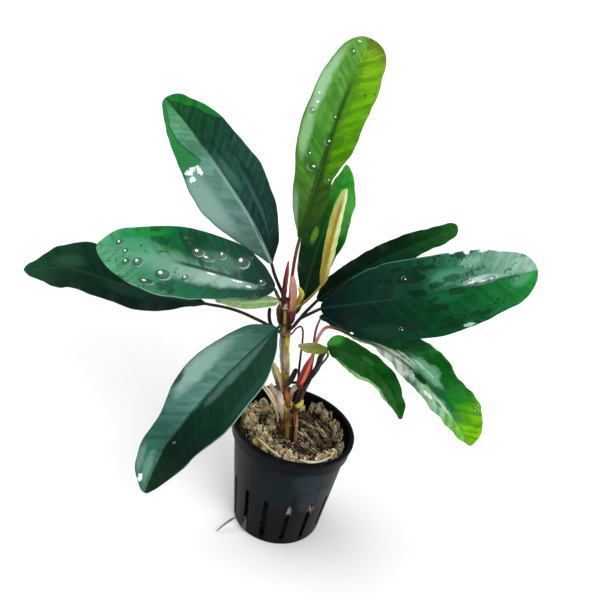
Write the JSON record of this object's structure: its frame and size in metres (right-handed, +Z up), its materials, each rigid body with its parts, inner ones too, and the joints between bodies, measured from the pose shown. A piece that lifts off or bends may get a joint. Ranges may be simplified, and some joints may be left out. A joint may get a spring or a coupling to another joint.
{
  "type": "potted bucephalandra",
  "caption": "Leafy water plant with long oval blades on an upright stem, rooted in a wool plug in a small black slotted net pot.",
  "frame": {"origin": "centre of the underside of the pot's base", "axes": "+Z up along the pot's axis, -Y towards the plant's front, +X to its right as seen from the front"},
  "size_m": [0.1926, 0.0698, 0.2072],
  "materials": {
    "pot_plastic": "satin black, thin moulded plastic",
    "mineral_wool": "damp fibrous wool, tan to brown",
    "green_stem": "smooth olive and yellow stem",
    "dark_stem": "smooth dark red-brown stalk",
    "red_shoot": "glossy red young shoot",
    "brown_sheath": "dry papery brown sheath",
    "root": "pale dry root",
    "bright_leaf": "wet, glossy bright green blade",
    "dark_leaf": "wet, glossy blue-green blade with a grey sheen",
    "pale_leaf": "soft pale green blade",
    "young_leaf": "rolled young leaf, yellow with cream edges"
  },
  "bodies": {
    "root": {"pot": "pot_plastic", "growing_medium": "mineral_wool", "main_stem": "green_stem", "side_stem": "dark_stem", "air_root": "dark_stem", "stem_stub": "dark_stem", "cut_stalk_left": "dark_stem", "crown_spear": "red_shoot", "red_spear": "red_shoot", "crown_sheath": "brown_sheath", "brown_sheath": "brown_sheath", "curled_scale": "young_leaf", "root_dry": "root", "root_left": "root", "root_front": "root", "root_outside": "root", "leaf_upright": "bright_leaf", "leaf_behind": "bright_leaf", "leaf_low_narrow": "bright_leaf", "leaf_low_right": "bright_leaf", "leaf_upper_left": "dark_leaf", "leaf_left_wet": "dark_leaf", "leaf_left_dark": "dark_leaf", "leaf_front": "dark_leaf", "leaf_right": "dark_leaf", "leaf_right_behind": "dark_leaf", "leaf_small_back": "dark_leaf", "leaf_small_pale": "pale_leaf", "leaf_small_olive": "pale_leaf", "young_leaf": "young_leaf"}
  },
  "joints": []
}
